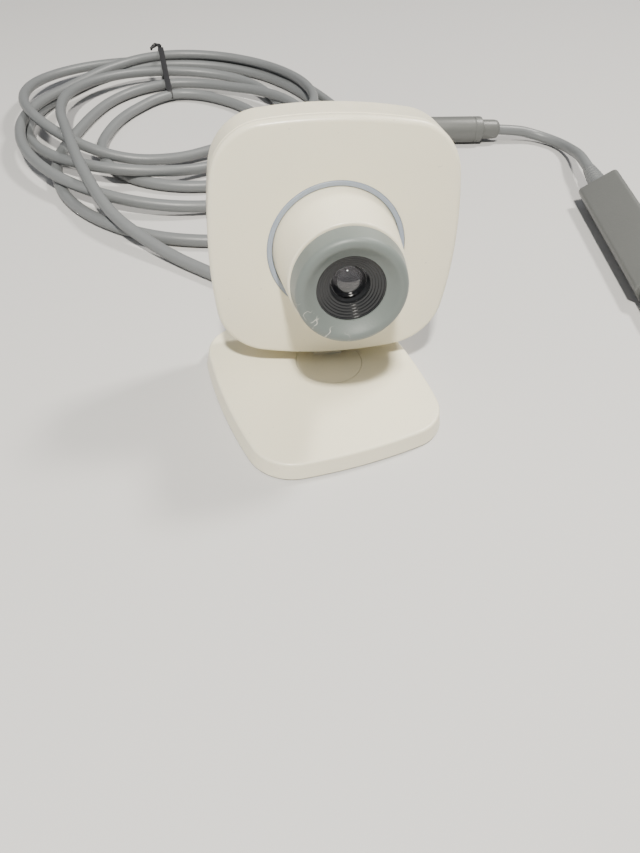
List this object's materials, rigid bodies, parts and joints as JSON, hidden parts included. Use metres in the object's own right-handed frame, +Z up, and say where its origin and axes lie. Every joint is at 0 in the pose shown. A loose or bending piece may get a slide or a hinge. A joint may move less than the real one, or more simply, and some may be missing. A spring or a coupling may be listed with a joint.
{
  "type": "web camera",
  "caption": "Small desk web camera: squircle head with a focus ring and light ring, tilting and swivelling on a thin weighted foot, with a coiled USB cord.",
  "frame": {"origin": "centre of the foot's underside, on the table", "axes": "+Z up, -Y towards the front edge of the foot, +X to the foot's right as seen from the front; the head stands turned 14 degrees clockwise seen from above and tipped back 7 degrees"},
  "size_m": [0.2237, 0.2866, 0.0697],
  "materials": {
    "white_plastic": "satin warm white moulded plastic",
    "grey_rubber": "smooth grey rubber",
    "black_rubber": "matt black rubber",
    "cord_jacket": "satin grey cord jacket",
    "grey_plastic": "satin grey moulded plastic",
    "clear_plastic": "frosted blue-grey light pipe",
    "lens_glass": "coated glass",
    "gloss_black": "glossy black",
    "dark_plastic": "matt black",
    "steel": "bright nickel-plated steel",
    "gold_contacts": "gold-plated",
    "pale_plastic": "white moulded plastic",
    "board_green": "green solder mask",
    "wire_jacket": "coloured wire jackets"
  },
  "bodies": {
    "foot": {"foot_cover": "white_plastic", "foot_plate": "dark_plastic", "foot_pad": "black_rubber", "foot_ballast": "steel", "foot_screws": "steel", "strain_relief": "cord_jacket", "foot_wires": "wire_jacket", "cord_from_foot": "cord_jacket", "cord_coil": "cord_jacket", "coil_tie": "dark_plastic", "cord_tail": "cord_jacket", "ferrite_sleeve": "grey_plastic", "ferrite_core": "dark_plastic", "plug_body": "grey_plastic", "plug_relief": "cord_jacket", "usb_shell": "steel", "usb_tongue": "pale_plastic", "usb_contacts": "gold_contacts"},
    "neck": {"neck": "white_plastic", "swivel_clip": "steel", "neck_lead": "cord_jacket"},
    "head": {"front_shell": "white_plastic", "rear_shell": "white_plastic", "shell_screws": "steel", "tilt_pin": "steel", "friction_washers": "steel", "nose_cone": "white_plastic", "nose_screws": "steel", "light_ring": "clear_plastic", "ring_leds": "pale_plastic", "sensor_board": "board_green", "board_screws": "steel", "lens_mount": "dark_plastic", "image_sensor": "dark_plastic", "ir_filter": "lens_glass", "controller_chip": "dark_plastic", "memory_chip": "dark_plastic", "crystal": "steel", "wire_socket": "pale_plastic", "head_wires": "wire_jacket"},
    "focus_ring": {"focus_grip": "grey_rubber", "focus_hub": "dark_plastic", "lens_bezel": "gloss_black"},
    "lens_barrel": {"lens_barrel": "gloss_black", "front_lens": "lens_glass", "lens_retainer": "gloss_black", "rear_lens": "lens_glass"}
  },
  "joints": [
    {"name": "foot_swivel", "type": "hinge", "parent": "foot", "child": "neck", "pos_m": [0.0045, 0.005, 0.005], "axis": [0, 0, 1], "range_deg": [-46, 74]},
    {"name": "head_tilt", "type": "hinge", "parent": "neck", "child": "head", "pos_m": [0.00583, 0.01034, 0.0156], "axis": [-0.9703, 0.2419, 0], "range_deg": [-7, 23]},
    {"name": "focus_turn", "type": "hinge", "parent": "head", "child": "focus_ring", "pos_m": [0.00078, -0.00994, 0.04156], "axis": [-0.2401, -0.9631, 0.1219], "range_deg": [-135, 135]},
    {"name": "lens_advance", "type": "slide", "parent": "focus_ring", "child": "lens_barrel", "axis": [-0.2401, -0.9631, 0.1219], "range_m": [-0.0002, 0.0002]}
  ],
  "couplings": [
    {"joint": "lens_advance", "follows": "focus_turn", "m_per_rad": 0.000079577}
  ]
}
